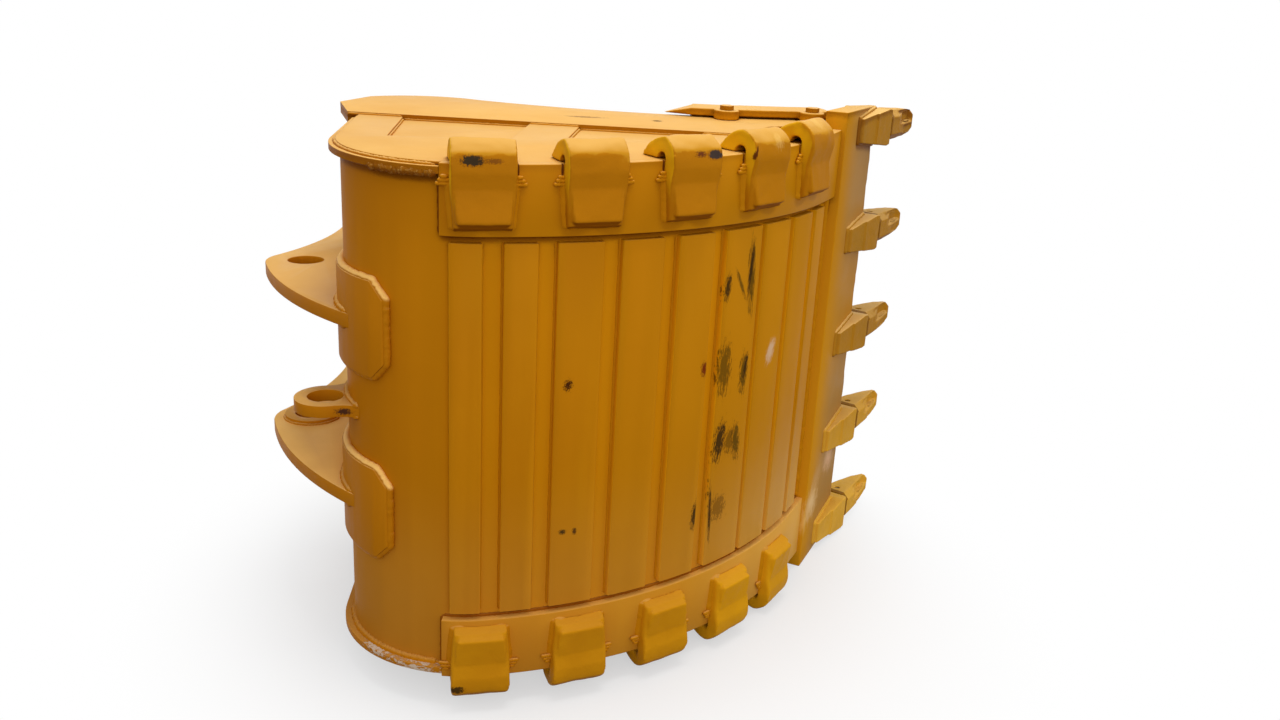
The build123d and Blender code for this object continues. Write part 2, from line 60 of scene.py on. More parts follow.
def addCamera(spec):
    ahead = Vector((0, math.cos(spec["pitch"]), -math.sin(spec["pitch"])))
    side = Vector((1, 0, 0))
    below = ahead.cross(side)
    c, s = math.cos(spec["roll"]), math.sin(spec["roll"])
    right = side * c + below * s
    down = below * c - side * s
    data = bpy.data.cameras.new("camera")
    data.sensor_fit = "HORIZONTAL"
    data.sensor_width = spec["sensor"]
    data.lens = spec["focalPixels"] * spec["sensor"] / spec["imageWidth"]
    camera = bpy.data.objects.new("camera", data)
    bpy.context.scene.collection.objects.link(camera)
    turn = Matrix((right, -down, -ahead)).transposed().to_4x4()
    camera.matrix_world = Matrix.Translation(spec["place"]) @ turn
    bpy.context.scene.camera = camera


addCamera(viewpoint)
print("camera set")


# a wire is one output of a node; sums on wires add Math nodes
class Wire:
    def __init__(self, wiring, socket):
        self.wiring = wiring
        self.socket = socket

    def sum(self, operation, other, flip=False):
        pair = (other, self) if flip else (self, other)
        return self.wiring.add("ShaderNodeMath", {"operation": operation}, dict(enumerate(pair)))

    def __add__(self, other):
        return self.sum("ADD", other)

    def __radd__(self, other):
        return self.sum("ADD", other, True)

    def __sub__(self, other):
        return self.sum("SUBTRACT", other)

    def __rsub__(self, other):
        return self.sum("SUBTRACT", other, True)

    def __mul__(self, other):
        return self.sum("MULTIPLY", other)

    def __rmul__(self, other):
        return self.sum("MULTIPLY", other, True)

    def over(self, other):
        return self.sum("MAXIMUM", other)


# a node tree being wired, for a material or for geometry
class Wiring:
    def __init__(self, tree):
        self.tree = tree
        tree.nodes.clear()

    def add(self, kind, settings=None, inputs=None, out=0):
        node = self.tree.nodes.new(kind)
        for key, value in (settings or {}).items():
            setattr(node, key, value)
        for key, value in (inputs or {}).items():
            if isinstance(value, Wire):
                self.tree.links.new(value.socket, node.inputs[key])
            else:
                node.inputs[key].default_value = value
        return Wire(self, node.outputs[out]) if node.outputs else None


def colour(value):
    return value if isinstance(value, Wire) else (*value, 1.0)


class Finish(Wiring):
    def __init__(self, name, data=None):
        self.data = data or bpy.data.materials.new(name)
        self.data.use_nodes = True
        super().__init__(self.data.node_tree)

    def place(self):
        return self.add("ShaderNodeTexCoord", out="Object")

    def part(self, vector, axis):
        return self.add("ShaderNodeSeparateXYZ", None, {0: vector}, axis)

    # metres from the middle towards the teeth, and above the floor
    def along(self):
        return self.part(self.place(), 0)

    def height(self):
        return self.part(self.place(), 2)

    # how far the surface faces the teeth, or upwards
    def ahead(self):
        return self.part(self.add("ShaderNodeNewGeometry", out="Normal"), 0)

    def upward(self):
        return self.part(self.add("ShaderNodeNewGeometry", out="Normal"), 2)

    def length(self, vector):
        return self.add("ShaderNodeVectorMath", {"operation": "LENGTH"}, {0: vector}, "Value")

    # metres from the origin in a direction
    def reach(self, direction):
        values = {0: self.place(), 1: direction}
        return self.add("ShaderNodeVectorMath", {"operation": "DOT_PRODUCT"}, values, "Value")

    # how open the surface is within a distance, 0 in a closed corner
    def openness(self, distance, normal=None):
        values = {"Distance": distance}
        if normal:
            values["Normal"] = normal
        return self.add("ShaderNodeAmbientOcclusion", {"samples": 6}, values, "AO")

    def noise(self, scale, detail=2.0, rough=0.5, stretch=None, at=None):
        spot = at or self.place()
        if stretch:
            spot = self.add("ShaderNodeMapping", inputs={"Vector": spot, "Scale": stretch})
        values = {"Vector": spot, "Scale": scale, "Detail": detail, "Roughness": rough}
        return self.add("ShaderNodeTexNoise", None, values)

    # an uneven level that swings up from its least
    def patches(self, scale, swing, least, detail=3):
        return self.noise(scale, detail, 0.6) * swing + least

    # rises smoothly from least to most while the value goes from low to high
    def step(self, value, low, high, least=0.0, most=1.0):
        values = {"Value": value, "From Min": low, "From Max": high, "To Min": least, "To Max": most}
        return self.add("ShaderNodeMapRange", {"interpolation_type": "SMOOTHSTEP"}, values)

    def mix(self, share, first, second):
        values = {0: share, 6: colour(first), 7: colour(second)}
        return self.add("ShaderNodeMix", {"data_type": "RGBA"}, values, 2)

    # a tint gives the share of its tone over the surface, and the tone
    def tinted(self, coat, tints):
        for tint in tints:
            share, tone = tint(self)
            coat = self.mix(share, coat, tone)
        return coat

    # how far inside a mark a point is, and inside the dirty fringe round it
    def smudge(self, mark):
        turn = (0, math.radians(mark["lean"]), math.radians(mark["heading"]))
        values = {"Vector": self.place(), "Location": mark["at"], "Rotation": turn, "Scale": mark["size"]}
        spot = self.add("ShaderNodeMapping", {"vector_type": "TEXTURE"}, values)
        rough = self.noise(*markEdge["noise"], spot)
        edge = self.length(spot) + (rough - 0.5) * mark["ragged"]
        core = self.step(edge, 1.0, mark["soft"], most=mark["share"])
        return core, self.step(edge, *markEdge["fringe"], most=mark["fringe"])

    def finish(self, colourWire, roughness, bumps, metallic=0.0, **fixed):
        values = {"Base Color": colourWire, "Roughness": roughness, "Metallic": metallic, **fixed}
        for height, distance in bumps:
            bump = {"Height": height, "Distance": distance, "Strength": 1.0}
            if "Normal" in values:
                bump["Normal"] = values["Normal"]
            values["Normal"] = self.add("ShaderNodeBump", None, bump)
        shader = self.add("ShaderNodeBsdfPrincipled", None, values)
        self.add("ShaderNodeOutputMaterial", None, {"Surface": shader})
        return self.data


# floor, sky and lamps
stage = {
    "floorSize": 40.0,
    "floorColour": (0.86, 0.86, 0.86),
    "floorDark": (0.8471, 0.8471, 0.8471),
    "bounce": (0.26, 0.25, 0.24),  # what the floor sends back to the object
    "clearFrom": 0.6,  # metres from the middle where the floor starts to go plain white
    "clearTo": 1.4,
    "clearLeast": 0.55,
    "sky": 0.66,
    "aim": Vector((0, 0, 0.7)),
    "lamps": [
        {"name": "overhead", "place": (0.1, -0.3, 5.6), "size": 2.2, "power": 116},
        {"name": "front", "place": (0.9, -4.8, 2.2), "size": 3.2, "power": 51},
        {"name": "right", "place": (4.6, -1.6, 2.0), "size": 3.0, "power": 26},
    ],
}


# 1 where the camera looks, directly or by way of gloss or glass
def seen(finish):
    kinds = ("Camera", "Glossy", "Transmission")
    rays = [finish.add("ShaderNodeLightPath", out=f"Is {kind} Ray") for kind in kinds]
    return rays[0].over(rays[1]).over(rays[2])


def addStage(spec):
    world = bpy.data.worlds.new("studio")
    bpy.context.scene.world = world
    sky = Finish("studio", world)
    strength = sky.step(seen(sky), 0.0, 1.0, spec["sky"])
    background = sky.add("ShaderNodeBackground", None, {"Color": (1, 1, 1, 1), "Strength": strength})
    sky.add("ShaderNodeOutputWorld", None, {"Surface": background})

    half = spec["floorSize"] / 2
    corners = [(-half, -half, 0), (half, -half, 0), (half, half, 0), (-half, half, 0)]
    mesh = bpy.data.meshes.new("floor")
    mesh.from_pydata(corners, [], [(0, 1, 2, 3)])
    floor = bpy.data.objects.new("floor", mesh)
    bpy.context.scene.collection.objects.link(floor)
    pale = Finish("paleFloor")
    looked = seen(pale)
    reach = pale.length(pale.place())
    clear = pale.step(reach, spec["clearFrom"], spec["clearTo"], spec["clearLeast"]) * looked
    tone = pale.mix(pale.noise(3.0, 3), spec["floorDark"], spec["floorColour"])
    tone = pale.mix(looked, spec["bounce"], tone)
    matt = pale.add("ShaderNodeBsdfDiffuse", None, {"Color": tone})
    white = pale.add("ShaderNodeEmission", None, {"Color": (1, 1, 1, 1), "Strength": 1.0})
    shader = pale.add("ShaderNodeMixShader", None, {0: clear, 1: matt, 2: white})
    pale.add("ShaderNodeOutputMaterial", None, {"Surface": shader})
    mesh.materials.append(pale.data)

    for lamp in spec["lamps"]:
        data = bpy.data.lights.new(lamp["name"], "AREA")
        data.size = lamp["size"]
        data.energy = lamp["power"]
        light = bpy.data.objects.new(lamp["name"], data)
        light.location = lamp["place"]
        aim = spec["aim"] - light.location
        light.rotation_euler = aim.to_track_quat("-Z", "Y").to_euler()
        bpy.context.scene.collection.objects.link(light)
    bpy.context.scene.view_settings.view_transform = "Standard"


addStage(stage)
print("stage set")

# sprayed yellow enamel: its tones, the noises that mix them, and the spans over which they come in
enamel = {
    "main": (0.565, 0.213, 0.0034),
    "thin": (0.525, 0.187, 0.0030),
    "thick": (0.62, 0.255, 0.0040),
    # painted shade towards the hinge and painted light towards the teeth
    "dull": (0.49, 0.165, 0.0040),  # towards the hinge
    "fresh": (0.585, 0.242, 0.0036),  # yellower towards the teeth
    # pale dust with a painted sheen, on what faces up
    "dust": (0.84, 0.52, 0.165),
    # painted light: a brighter dust for the lower ears and the pads' beads
    "brightDust": (1.0, 0.58, 0.165),
    # dirt, and the painted shade of corners, ledges and what faces down
    "dirt": (0.165, 0.037, 0.002),
    "clouds": (1.7, 3, 0.55),  # scale, detail and roughness, and a stretch
    "streaks": (9, 4, 0.6, (1, 1, 0.12)),
    "speckle": (140, 3, 0.6),
    "cloudSpan": (0.3, 0.7),  # from and to, then the least and the most share
    "streakSpan": (0.45, 0.85, 0, 0.5),
    "speckleSpan": (0.6, 0.85, 0, 0.10),
    "dullSpan": (-0.25, -0.5, 0, 0.65),  # metres along the bucket
    "freshSpan": (-0.2, 0.6, 0, 0.8),
    "nookReach": 0.014,  # metres within which a corner gets painted shade and dirt
    "nookSpan": (0.62, 0.12),
    "nookPatches": {"scale": 24, "swing": 0.6, "least": 0.4},
    "ledgeReach": 0.022,
    "ledgeSpan": (0.74, 0.48),
    "ledgeHeights": (1.09, 1.14),
    "underSpan": (-0.3, -0.85),
    "dustHeights": (0.1, 0.9),
    "dustPatches": {"scale": 5, "swing": 0.5, "least": 0.65, "detail": 4},
    "glossScale": 14,
    "glossSwing": 0.16,
    "wornMatt": 0.15,  # how much rougher a mark is
}
rolled = {"scale": 320, "detail": 2, "depth": 0.00012}
sandCast = {"scale": 130, "detail": 4, "depth": 0.0007}
roughCast = {"scale": 150, "detail": 5, "depth": 0.0013}
# what a coat has unless its piece says otherwise
plainCoat = {
    "grain": rolled,
    "waves": {"scale": 5, "depth": 0.004},
    "roughness": 0.42,
    "shine": 0.02,
    "tints": (),
    "overTints": (),  # laid over the dust and painted sheen
    "marks": (),
    "nook": 0.2,  # shares of painted shade and dirt in corners, under ledges and on what faces down
    "ledge": 0.7,
    "under": 0.7,
    "dust": 0.75,
    "lowDust": 0.4,  # what is left of the dust and painted sheen at the floor
    "dustTone": enamel["dust"],
    "dustSpan": (0.45, 0.95),  # how far up a face looks
}


def enamelFinish(name, changes):
    spec = {**plainCoat, **changes}
    paint = Finish(name)
    clouds = paint.step(paint.noise(*enamel["clouds"]), *enamel["cloudSpan"])
    coat = paint.mix(clouds, enamel["thin"], enamel["main"])
    streaks = paint.step(paint.noise(*enamel["streaks"]), *enamel["streakSpan"])
    coat = paint.mix(streaks, coat, enamel["thick"])
    # painted shade darkens the hinge end and painted light yellows the teeth end
    coat = paint.mix(paint.step(paint.along(), *enamel["dullSpan"]), coat, enamel["dull"])
    coat = paint.mix(paint.step(paint.along(), *enamel["freshSpan"]), coat, enamel["fresh"])
    coat = paint.tinted(coat, spec["tints"])
    speckle = paint.step(paint.noise(*enamel["speckle"]), *enamel["speckleSpan"])
    coat = paint.mix(speckle, coat, enamel["thick"])
    # painted shade and dirt darken the corners
    nook = paint.step(paint.openness(enamel["nookReach"]), *enamel["nookSpan"], most=spec["nook"])
    coat = paint.mix(nook * paint.patches(**enamel["nookPatches"]), coat, enamel["dirt"])
    # painted shade darkens what faces down or lies close under a ledge of the upper side
    upright = paint.add("ShaderNodeCombineXYZ", None, {2: 1.0})
    ledge = paint.step(paint.openness(enamel["ledgeReach"], upright), *enamel["ledgeSpan"])
    ledge = ledge * paint.step(paint.height(), *enamel["ledgeHeights"])
    below = paint.step(paint.upward(), *enamel["underSpan"], most=spec["under"])
    coat = paint.mix((ledge * spec["ledge"]).over(below), coat, enamel["dirt"])
    # dust and a painted sheen lie on what faces up
    dustAndSheenFilm = paint.step(paint.upward(), *spec["dustSpan"]) * paint.patches(**enamel["dustPatches"])
    dustAndSheenFilm = dustAndSheenFilm * (1 - ledge) * paint.step(paint.height(), *enamel["dustHeights"], spec["lowDust"])
    coat = paint.mix(dustAndSheenFilm * spec["dust"], coat, spec["dustTone"])
    coat = paint.tinted(coat, spec["overTints"])
    swing = enamel["glossSwing"]
    gloss = paint.patches(enamel["glossScale"], swing, spec["roughness"] - swing / 2, 4)
    for mark in spec["marks"]:
        worn, fringe = paint.smudge(mark)
        coat = paint.mix(fringe, coat, enamel["dirt"])
        coat = paint.mix(worn, coat, mark["tone"])
        gloss = gloss + worn * enamel["wornMatt"]
    grain, waves = spec["grain"], spec["waves"]
    peel = paint.noise(grain["scale"], grain["detail"], 0.6)
    bumps = [(paint.noise(waves["scale"]), waves["depth"]), (peel, grain["depth"])]
    return paint.finish(coat, gloss, bumps, **{"Specular IOR Level": spec["shine"]})


# a worn or smeared place: its middle, half sizes, heading in degrees and tone
markPlain = {"lean": 0, "ragged": 5.0, "soft": 0.8, "share": 0.92, "fringe": 0.35}
markEdge = {"noise": (2.6, 6, 0.75, (1.3, 1, 0.8)), "fringe": (1.35, 0.9)}
bareSteel = (0.045, 0.023, 0.005)
scrape = (0.125, 0.062, 0.003)
slagWhite = (0.72, 0.60, 0.47)


def markAt(at, size, heading, tone, **changes):
    return {**markPlain, "at": at, "size": size, "heading": heading, "tone": tone, **changes}


smear = {"ragged": 2.0, "soft": 0.3, "fringe": 0.0}
stripMarks = [
    markAt((0.361, -0.2746, 1.030), (0.012, 0.02, 0.085), 43, scrape, lean=-4),
    markAt((0.358, -0.278, 1.045), (0.006, 0.02, 0.050), 43, bareSteel, lean=5),
    markAt((0.2999, -0.3377, 1.010), (0.010, 0.02, 0.030), 43, bareSteel, lean=6),
    markAt((0.3336, -0.3041, 1.012), (0.005, 0.02, 0.040), 43, scrape, lean=-28, share=0.8),
    markAt((0.3065, -0.3314, 0.800), (0.022, 0.02, 0.060), 43, scrape, share=0.75),
    markAt((0.3603, -0.2754, 0.774), (0.014, 0.02, 0.048), 43, scrape),
    markAt((0.3650, -0.2700, 0.790), (0.006, 0.02, 0.028), 43, bareSteel, lean=10),
    markAt((0.3088, -0.3292, 0.602), (0.018, 0.02, 0.048), 43, bareSteel, lean=8),
    markAt((0.3350, -0.3020, 0.595), (0.016, 0.02, 0.030), 43, scrape, share=0.6),
    markAt((0.3542, -0.2821, 0.588), (0.014, 0.02, 0.046), 43, scrape, lean=-8),
    markAt((0.2970, -0.3405, 0.405), (0.005, 0.02, 0.070), 43, bareSteel, lean=-3),
    markAt((0.3180, -0.3200, 0.412), (0.026, 0.02, 0.030), 43, scrape, share=0.4),
    markAt((0.2559, -0.3780, 0.414), (0.010, 0.02, 0.034), 40, bareSteel, lean=6),
    markAt((0.436, -0.1824, 0.805), (0.024, 0.02, 0.044), 53, (0.70, 0.46, 0.28), lean=20, **smear),
    markAt((0.2537, -0.3798, 0.811), (0.009, 0.02, 0.017), 40, (0.16, 0.018, 0.004)),
    markAt((-0.0652, -0.5771, 0.820), (0.009, 0.02, 0.012), 23, (0.035, 0.007, 0.003), lean=20, ragged=6.0),
    markAt((-0.0679, -0.5784, 0.4485), (0.008, 0.02, 0.006), 23, (0.05, 0.03, 0.008)),
    markAt((-0.0400, -0.5664, 0.4467), (0.005, 0.02, 0.008), 24, (0.07, 0.03, 0.008)),
]
# the last two are pale patches on brows
browPatch = {"tone": (0.84, 0.54, 0.16), "share": 0.45, "soft": 0.1, "ragged": 2.4, "fringe": 0.0}
shroudMarks = [
    markAt((-0.269, -0.6817, 1.3313), (0.025, 0.03, 0.011), 13, (0.022, 0.023, 0.016), ragged=2.6),
    markAt((-0.225, -0.6700, 1.3313), (0.016, 0.03, 0.005), 13, (0.16, 0.05, 0.010), share=0.6),
    markAt((0.2416, -0.4404, 1.3399), (0.022, 0.03, 0.011), 36, (0.030, 0.030, 0.034), ragged=1.5),
    markAt((0.2080, -0.4650, 1.3420), (0.014, 0.03, 0.006), 36, (0.14, 0.035, 0.012)),
    markAt((0.3396, -0.3517, 1.335), (0.0035, 0.008, 0.020), 40, (0.10, 0.022, 0.006), lean=18, ragged=2.5),
    markAt((-0.303, -0.688, 0.066), (0.020, 0.03, 0.012), 13, bareSteel, ragged=3.0),
    markAt((0.5110, -0.0860, 1.3880), (0.030, 0.05, 0.022), 60, **browPatch),
    markAt((0.4000, -0.2825, 1.3600), (0.022, 0.05, 0.024), 48, **browPatch),
]
rimMarks = [
    markAt((-0.505, -0.572, 0.100), (0.05, 0.03, 0.014), -40, slagWhite, share=0.8),
    markAt((-0.400, -0.622, 0.094), (0.06, 0.03, 0.012), -12, slagWhite, share=0.8),
    markAt((-0.0888, 0.0873, 1.355), (0.045, 0.012, 0.02), 0, (0.30, 0.16, 0.05), share=0.6),
    markAt((0.1065, 0.0856, 1.3549), (0.012, 0.010, 0.02), 0, (0.05, 0.03, 0.010)),
]
# painted shadow: a dark spot in the gap at the root of the lifting eye
eyeShadowMarks = [markAt((-0.600, -0.511, 0.699), (0.018, 0.02, 0.008), 0, (0.05, 0.018, 0.012), ragged=4.0)]
# pale dust low on the lip, between the last two teeth
lipDust = {"soft": 0.05, "fringe": 0.0, "ragged": 1.6}
lipMarks = [
    markAt(at, size, 66, tone, lean=lean, share=share, **lipDust)
    for at, size, tone, lean, share in (
        ((0.6560, 0.2030, 0.195), (0.090, 0.02, 0.082), (0.92, 0.64, 0.32), -12, 0.8),
        ((0.6320, 0.1472, 0.150), (0.036, 0.02, 0.060), (0.90, 0.54, 0.16), 0, 0.6),
        ((0.7226, 0.3507, 0.288), (0.085, 0.02, 0.064), (0.90, 0.56, 0.32), 8, 0.85),
        ((0.6700, 0.2330, 0.275), (0.090, 0.02, 0.050), (0.66, 0.38, 0.15), -20, 0.6),
    )
]
# painted shadow: dark slots where the shrouds stand off the upper band
slotShadow = {"size": (0.0030, 0.012, 0.017), "tone": (0.09, 0.020, 0.003), "ragged": 1.2}
bandSlotShadows = [
    markAt((-0.1818, -0.6250, 1.3091), heading=17, **slotShadow),
    markAt((-0.0910, -0.5939, 1.3103), heading=21, **slotShadow),
    markAt((0.1242, -0.4839, 1.3146), heading=33, **slotShadow),
    markAt((0.3128, -0.3329, 1.3205), heading=45, **slotShadow),
    markAt((0.4672, -0.1470, 1.3278), heading=56, **slotShadow),
]


# castings of the teeth are dull and brown, more so the upper ones
def castTint(paint):
    share = paint.patches(9, swing=0.6, least=0.25) * paint.step(paint.height(), 0.1, 0.9, least=0.4)
    return share, (0.36, 0.185, 0.026)


# the lower teeth are paler
def lowTint(paint):
    share = paint.step(paint.height(), 0.75, 0.1) * paint.patches(12, swing=0.6, least=0.35)
    return share, (0.95, 0.53, 0.060)


# dirt and painted shade fill the joint behind a tooth's point
toothJoint = {"heading": math.radians(52), "along": 0.877, "above": 0.012, "fade": 0.006}


def seamTint(paint):
    turn = toothJoint["heading"]
    edge = paint.step(paint.upward(), 0.2, 0.7, most=toothJoint["above"]) + toothJoint["along"]
    ahead = paint.reach((math.cos(turn), math.sin(turn), 0.0)) - edge
    ragged = (paint.noise(40) - 0.5) * toothJoint["fade"]
    return paint.step(ahead + ragged, 0.0, -toothJoint["fade"], most=0.9), (0.24, 0.092, 0.004)


# painted light: the shell between the strips is made paler, to take out the shade of the gaps
def gapLightTint(paint):
    return paint.step(paint.along(), -0.33, -0.2, most=0.6), (0.72, 0.29, 0.0040)


# painted light: the strips' edges that face the hinge are made paler, where the next strip shades them
def edgeLightTint(paint):
    share = paint.step(paint.ahead(), -0.25, -0.45) * paint.step(paint.along(), -0.1, 0.3, 0.3, 0.7)
    return share, (0.90, 0.42, 0.006)


# painted sheen: the low end next to the lip is paler
def lowSheenTint(paint):
    level = paint.step(paint.along(), 0.2, 0.6, 0.1, 0.46) * paint.patches(3, swing=0.8, least=0.6, detail=4)
    return paint.step(paint.height(), 0.62, 0.22) * level, (0.97, 0.57, 0.14)


# painted light: the lip is brighter, more so towards its bottom
def lipLightTint(paint):
    return paint.step(paint.height(), 1.2, 0.5, 0.2, 0.8), (0.70, 0.30, 0.006)


# the lip goes dull and brown from the middle of its depth to its edge: thinner paint with a painted
# reflection of the sky
lipAhead = Vector((0.4067, 0.9135, 0.0))


def lipThinCoatAndSheen(paint):
    height = paint.height()
    level = paint.step(height, 0.85, 1.1, 0.4).over(paint.step(height, 0.75, 0.5, 0.4))
    share = paint.step(paint.reach(lipAhead), 0.40, 0.56) * level
    share = share * paint.patches(5, swing=0.9, least=0.45, detail=4)
    return share + 0.06, (0.50, 0.255, 0.062)


# castings of the shrouds are a little browner than the plates
def shroudTint(paint):
    return paint.patches(6, swing=0.5, least=0.3), (0.45, 0.158, 0.004)


# the ends of the upper shrouds that face the hinge have a thick coat
def cheekTint(paint):
    share = paint.step(paint.ahead(), -0.30, -0.60) * paint.step(paint.height(), 1.22, 1.31)
    return share * paint.patches(14, swing=0.4, least=0.7), (0.77, 0.395, 0.006)


# the lower shrouds have kept a cleaner coat
def skirtTint(paint):
    level = paint.patches(7, swing=0.4, least=0.15) + paint.step(paint.along(), 0.1, 0.45, most=0.4)
    return paint.step(paint.height(), 0.40, 0.26) * level, (0.80, 0.38, 0.008)


# the brows are paler on what faces up, up to a wavy edge
def browTint(paint):
    edge = paint.upward() + (paint.noise(24, 3, 0.6) - 0.5) * 1.1
    share = paint.step(edge, 0.26, 0.44) * paint.step(paint.height(), 1.31, 1.33, most=0.3)
    return share, (0.80, 0.44, 0.035)


# paint over slag is thin and dirty, and pale on its crests; its dark patches are partly painted shade under
# the rim
def slagTint(paint):
    return paint.noise(60, 4, 0.7) * 0.8, (0.10, 0.045, 0.008)


def crestTint(paint):
    return paint.step(paint.noise(150, 4, 0.75), 0.50, 0.62, most=0.6), (0.76, 0.45, 0.12)


# painted shadow in the joint under a band
def grooveShadowTint(paint):
    return paint.patches(30, swing=0.5, least=0.5), (0.20, 0.036, 0.001)


# without the painted shade of corners, ledges and what faces down
unshadedCoat = {"nook": 0.0, "ledge": 0.0, "under": 0.0}
# painted light: bright dust that stays all the way down
paintedLightCoat = {"lowDust": 1.0, "dustTone": enamel["brightDust"]}
toothCoat = {
    "grain": roughCast,
    "waves": {"scale": 18, "depth": 0.004},
    "roughness": 0.5,
    "tints": [castTint, lowTint],
}
weldCoat = {
    "grain": {"scale": 260, "detail": 3, "depth": 0.0004},
    "waves": {"scale": 40, "depth": 0.001},
    "roughness": 0.40,
}
coats = {
    "platePaint": {},
    "shellPaint": {"tints": [gapLightTint, lowSheenTint], "nook": 0.0, "shine": 0.008},
    "bandPaint": {"marks": bandSlotShadows, "tints": [lowSheenTint], "nook": 0.04, "ledge": 0.3},
    # painted light on the lower ears, which the upper ears shade
    "earPaint": {**paintedLightCoat, "dust": 1.0},
    "eyePaint": {"marks": eyeShadowMarks},
    "stripPaint": {
        "waves": {"scale": 6, "depth": 0.004},
        "marks": stripMarks,
        "tints": [edgeLightTint, lowSheenTint],
        "dust": 0.6,
        "ledge": 0.0,
        "under": 0.0,
    },
    "rimPaint": {"marks": rimMarks},
    "shroudPaint": {
        "grain": sandCast,
        "waves": {"scale": 9, "depth": 0.003},
        "roughness": 0.46,
        "marks": shroudMarks,
        "tints": [shroudTint, cheekTint, skirtTint, browTint],
        "nook": 0.03,
        "ledge": 0.2,
        "dust": 0.56,
        "lowDust": 0.1,
    },
    # full dust and painted sheen, a painted highlight on the tops of the adapters
    "toothPaint": {**toothCoat, "nook": 0.3, "dust": 1.0, "lowDust": 0.12},
    # strong painted shade in the hollows and joints of the points
    "pointPaint": {**toothCoat, "nook": 0.8, "overTints": [seamTint]},
    "lipPaint": {
        "waves": {"scale": 4, "depth": 0.003},
        "roughness": 0.4,
        "marks": lipMarks,
        "tints": [lipLightTint, lipThinCoatAndSheen],
        "shine": 0.004,
    },
    "weldPaint": weldCoat,
    # more dust and painted sheen, a painted highlight on the fillets and short runs
    "filletPaint": {**weldCoat, **unshadedCoat, "dust": 0.9},
    # painted highlight on the beads round the pads
    "edgePaint": {**weldCoat, **unshadedCoat, **paintedLightCoat, "dust": 1.2, "dustSpan": (0.1, 0.6)},
    "slagPaint": {
        "grain": {"scale": 220, "detail": 4, "depth": 0.0008},
        "waves": {"scale": 40, "depth": 0.002},
        "roughness": 0.5,
        "tints": [slagTint, crestTint],
        "dust": 0.1,
    },
    "groovePaint": {**weldCoat, "roughness": 0.5, "tints": [grooveShadowTint], "dust": 0.2},
    "boltPaint": {
        "grain": {"scale": 200, "detail": 3, "depth": 0.0002},
        "waves": {"scale": 30, "depth": 0.0005},
        "roughness": 0.40,
    },
}


def steelFinish(name):
    steel = Finish(name)
    scale = steel.noise(60, 4, 0.65)
    tone = steel.mix(steel.step(scale, 0.35, 0.7), (0.14, 0.10, 0.06), (0.34, 0.25, 0.14))
    gloss = steel.noise(90, 3) * 0.3 + 0.3
    return steel.finish(tone, gloss, [(scale, 0.0006)], 0.85)


paints = {name: enamelFinish(name, changes) for name, changes in coats.items()}
paints["pinSteel"] = steelFinish("pinSteel")
print("finishes wired,", len(paints))


def addPiece(name, mesh, paint, replaced=()):
    piece = bpy.data.objects.new(name, mesh)
    bpy.context.scene.collection.objects.link(piece)
    mesh.materials.clear()
    mesh.materials.append(paints[paint])
    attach(piece, "root")
    if replaced:
        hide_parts(*replaced)


def camel(nodeName):
    first, *rest = nodeName.split("_")
    return first + "".join(word.capitalize() for word in rest)


merging = {"distance": 0.00002, "flat": math.radians(0.5)}


def mergedCopy(nodeName):
    bm = bmesh.new()
    bm.from_mesh(nodes[nodeName].data)
    bmesh.ops.remove_doubles(bm, verts=bm.verts, dist=merging["distance"])
    bmesh.ops.dissolve_limit(bm, angle_limit=merging["flat"], verts=bm.verts, edges=bm.edges)
    mesh = bpy.data.meshes.new(camel(nodeName))
    bm.to_mesh(mesh)
    bm.free()
    return mesh


def holderOf(mesh):
    holder = bpy.data.objects.new("holder", mesh)
    bpy.context.scene.collection.objects.link(holder)
    return holder


def evaluated(holder):
    view = bpy.context.evaluated_depsgraph_get()
    mesh = bpy.data.meshes.new_from_object(holder.evaluated_get(view))
    bpy.data.objects.remove(holder)
    return mesh


# plates keep their form and get the small rounding of cut and painted edges
plates = {
    "edges": {"wrapper": 0.002, "lip": 0.003, "cutter": 0.0008, "pin": 0.0012, "lock": 0.0012},
    "edge": 0.0025,
    "segments": 2,
    "sharp": math.radians(28),
}
# paint and slot by the start of a node's name; the first that fits holds
plateCoats = (
    ("lip", "lipPaint", "lip_paint"),
    ("wrapper", "shellPaint", "plate_paint"),
    ("lifting_eye", "eyePaint", "plate_paint"),
    ("ear_lower", "earPaint", "plate_paint"),
    ("heel_band", "bandPaint", "plate_paint"),
    ("wear_strip", "stripPaint", "plate_paint"),
    ("side_", "rimPaint", "plate_paint"),
    ("cutter_", "boltPaint", "fastener_paint"),
    ("lock_pins", "pinSteel", "pin_steel"),
    ("pin_retainers", "pinSteel", "pin_steel"),
    ("", "platePaint", "plate_paint"),
)

# the lip's front edge is worn in shallow waves
lipWear = {
    "edge": 0.7065,
    "reach": 0.03,
    "depth": 0.017,
    "wave": 0.11,
    "fineWave": 0.03,
    "fineShare": 0.4,
    "spacing": 0.02,
    "ends": 0.02,  # left uncut
}


def wearEdge(mesh, spec):
    bm = bmesh.new()
    bm.from_mesh(mesh)
    heights = [vert.co.z for vert in bm.verts]
    low, high = min(heights) + spec["ends"], max(heights) - spec["ends"]
    for index in range(int((high - low) / spec["spacing"]) + 1):
        cut = bm.verts[:] + bm.edges[:] + bm.faces[:]
        level = (0, 0, low + index * spec["spacing"])
        bmesh.ops.bisect_plane(bm, geom=cut, plane_co=level, plane_no=(0, 0, 1))
    for vert in bm.verts:
        if vert.co.dot(lipAhead) > spec["edge"] - spec["reach"]:
            wave = noise.noise((0, 0, vert.co.z / spec["wave"]))
            wave += spec["fineShare"] * noise.noise((0, 3, vert.co.z / spec["fineWave"]))
            vert.co += lipAhead * wave * spec["depth"]
    bm.to_mesh(mesh)
    bm.free()


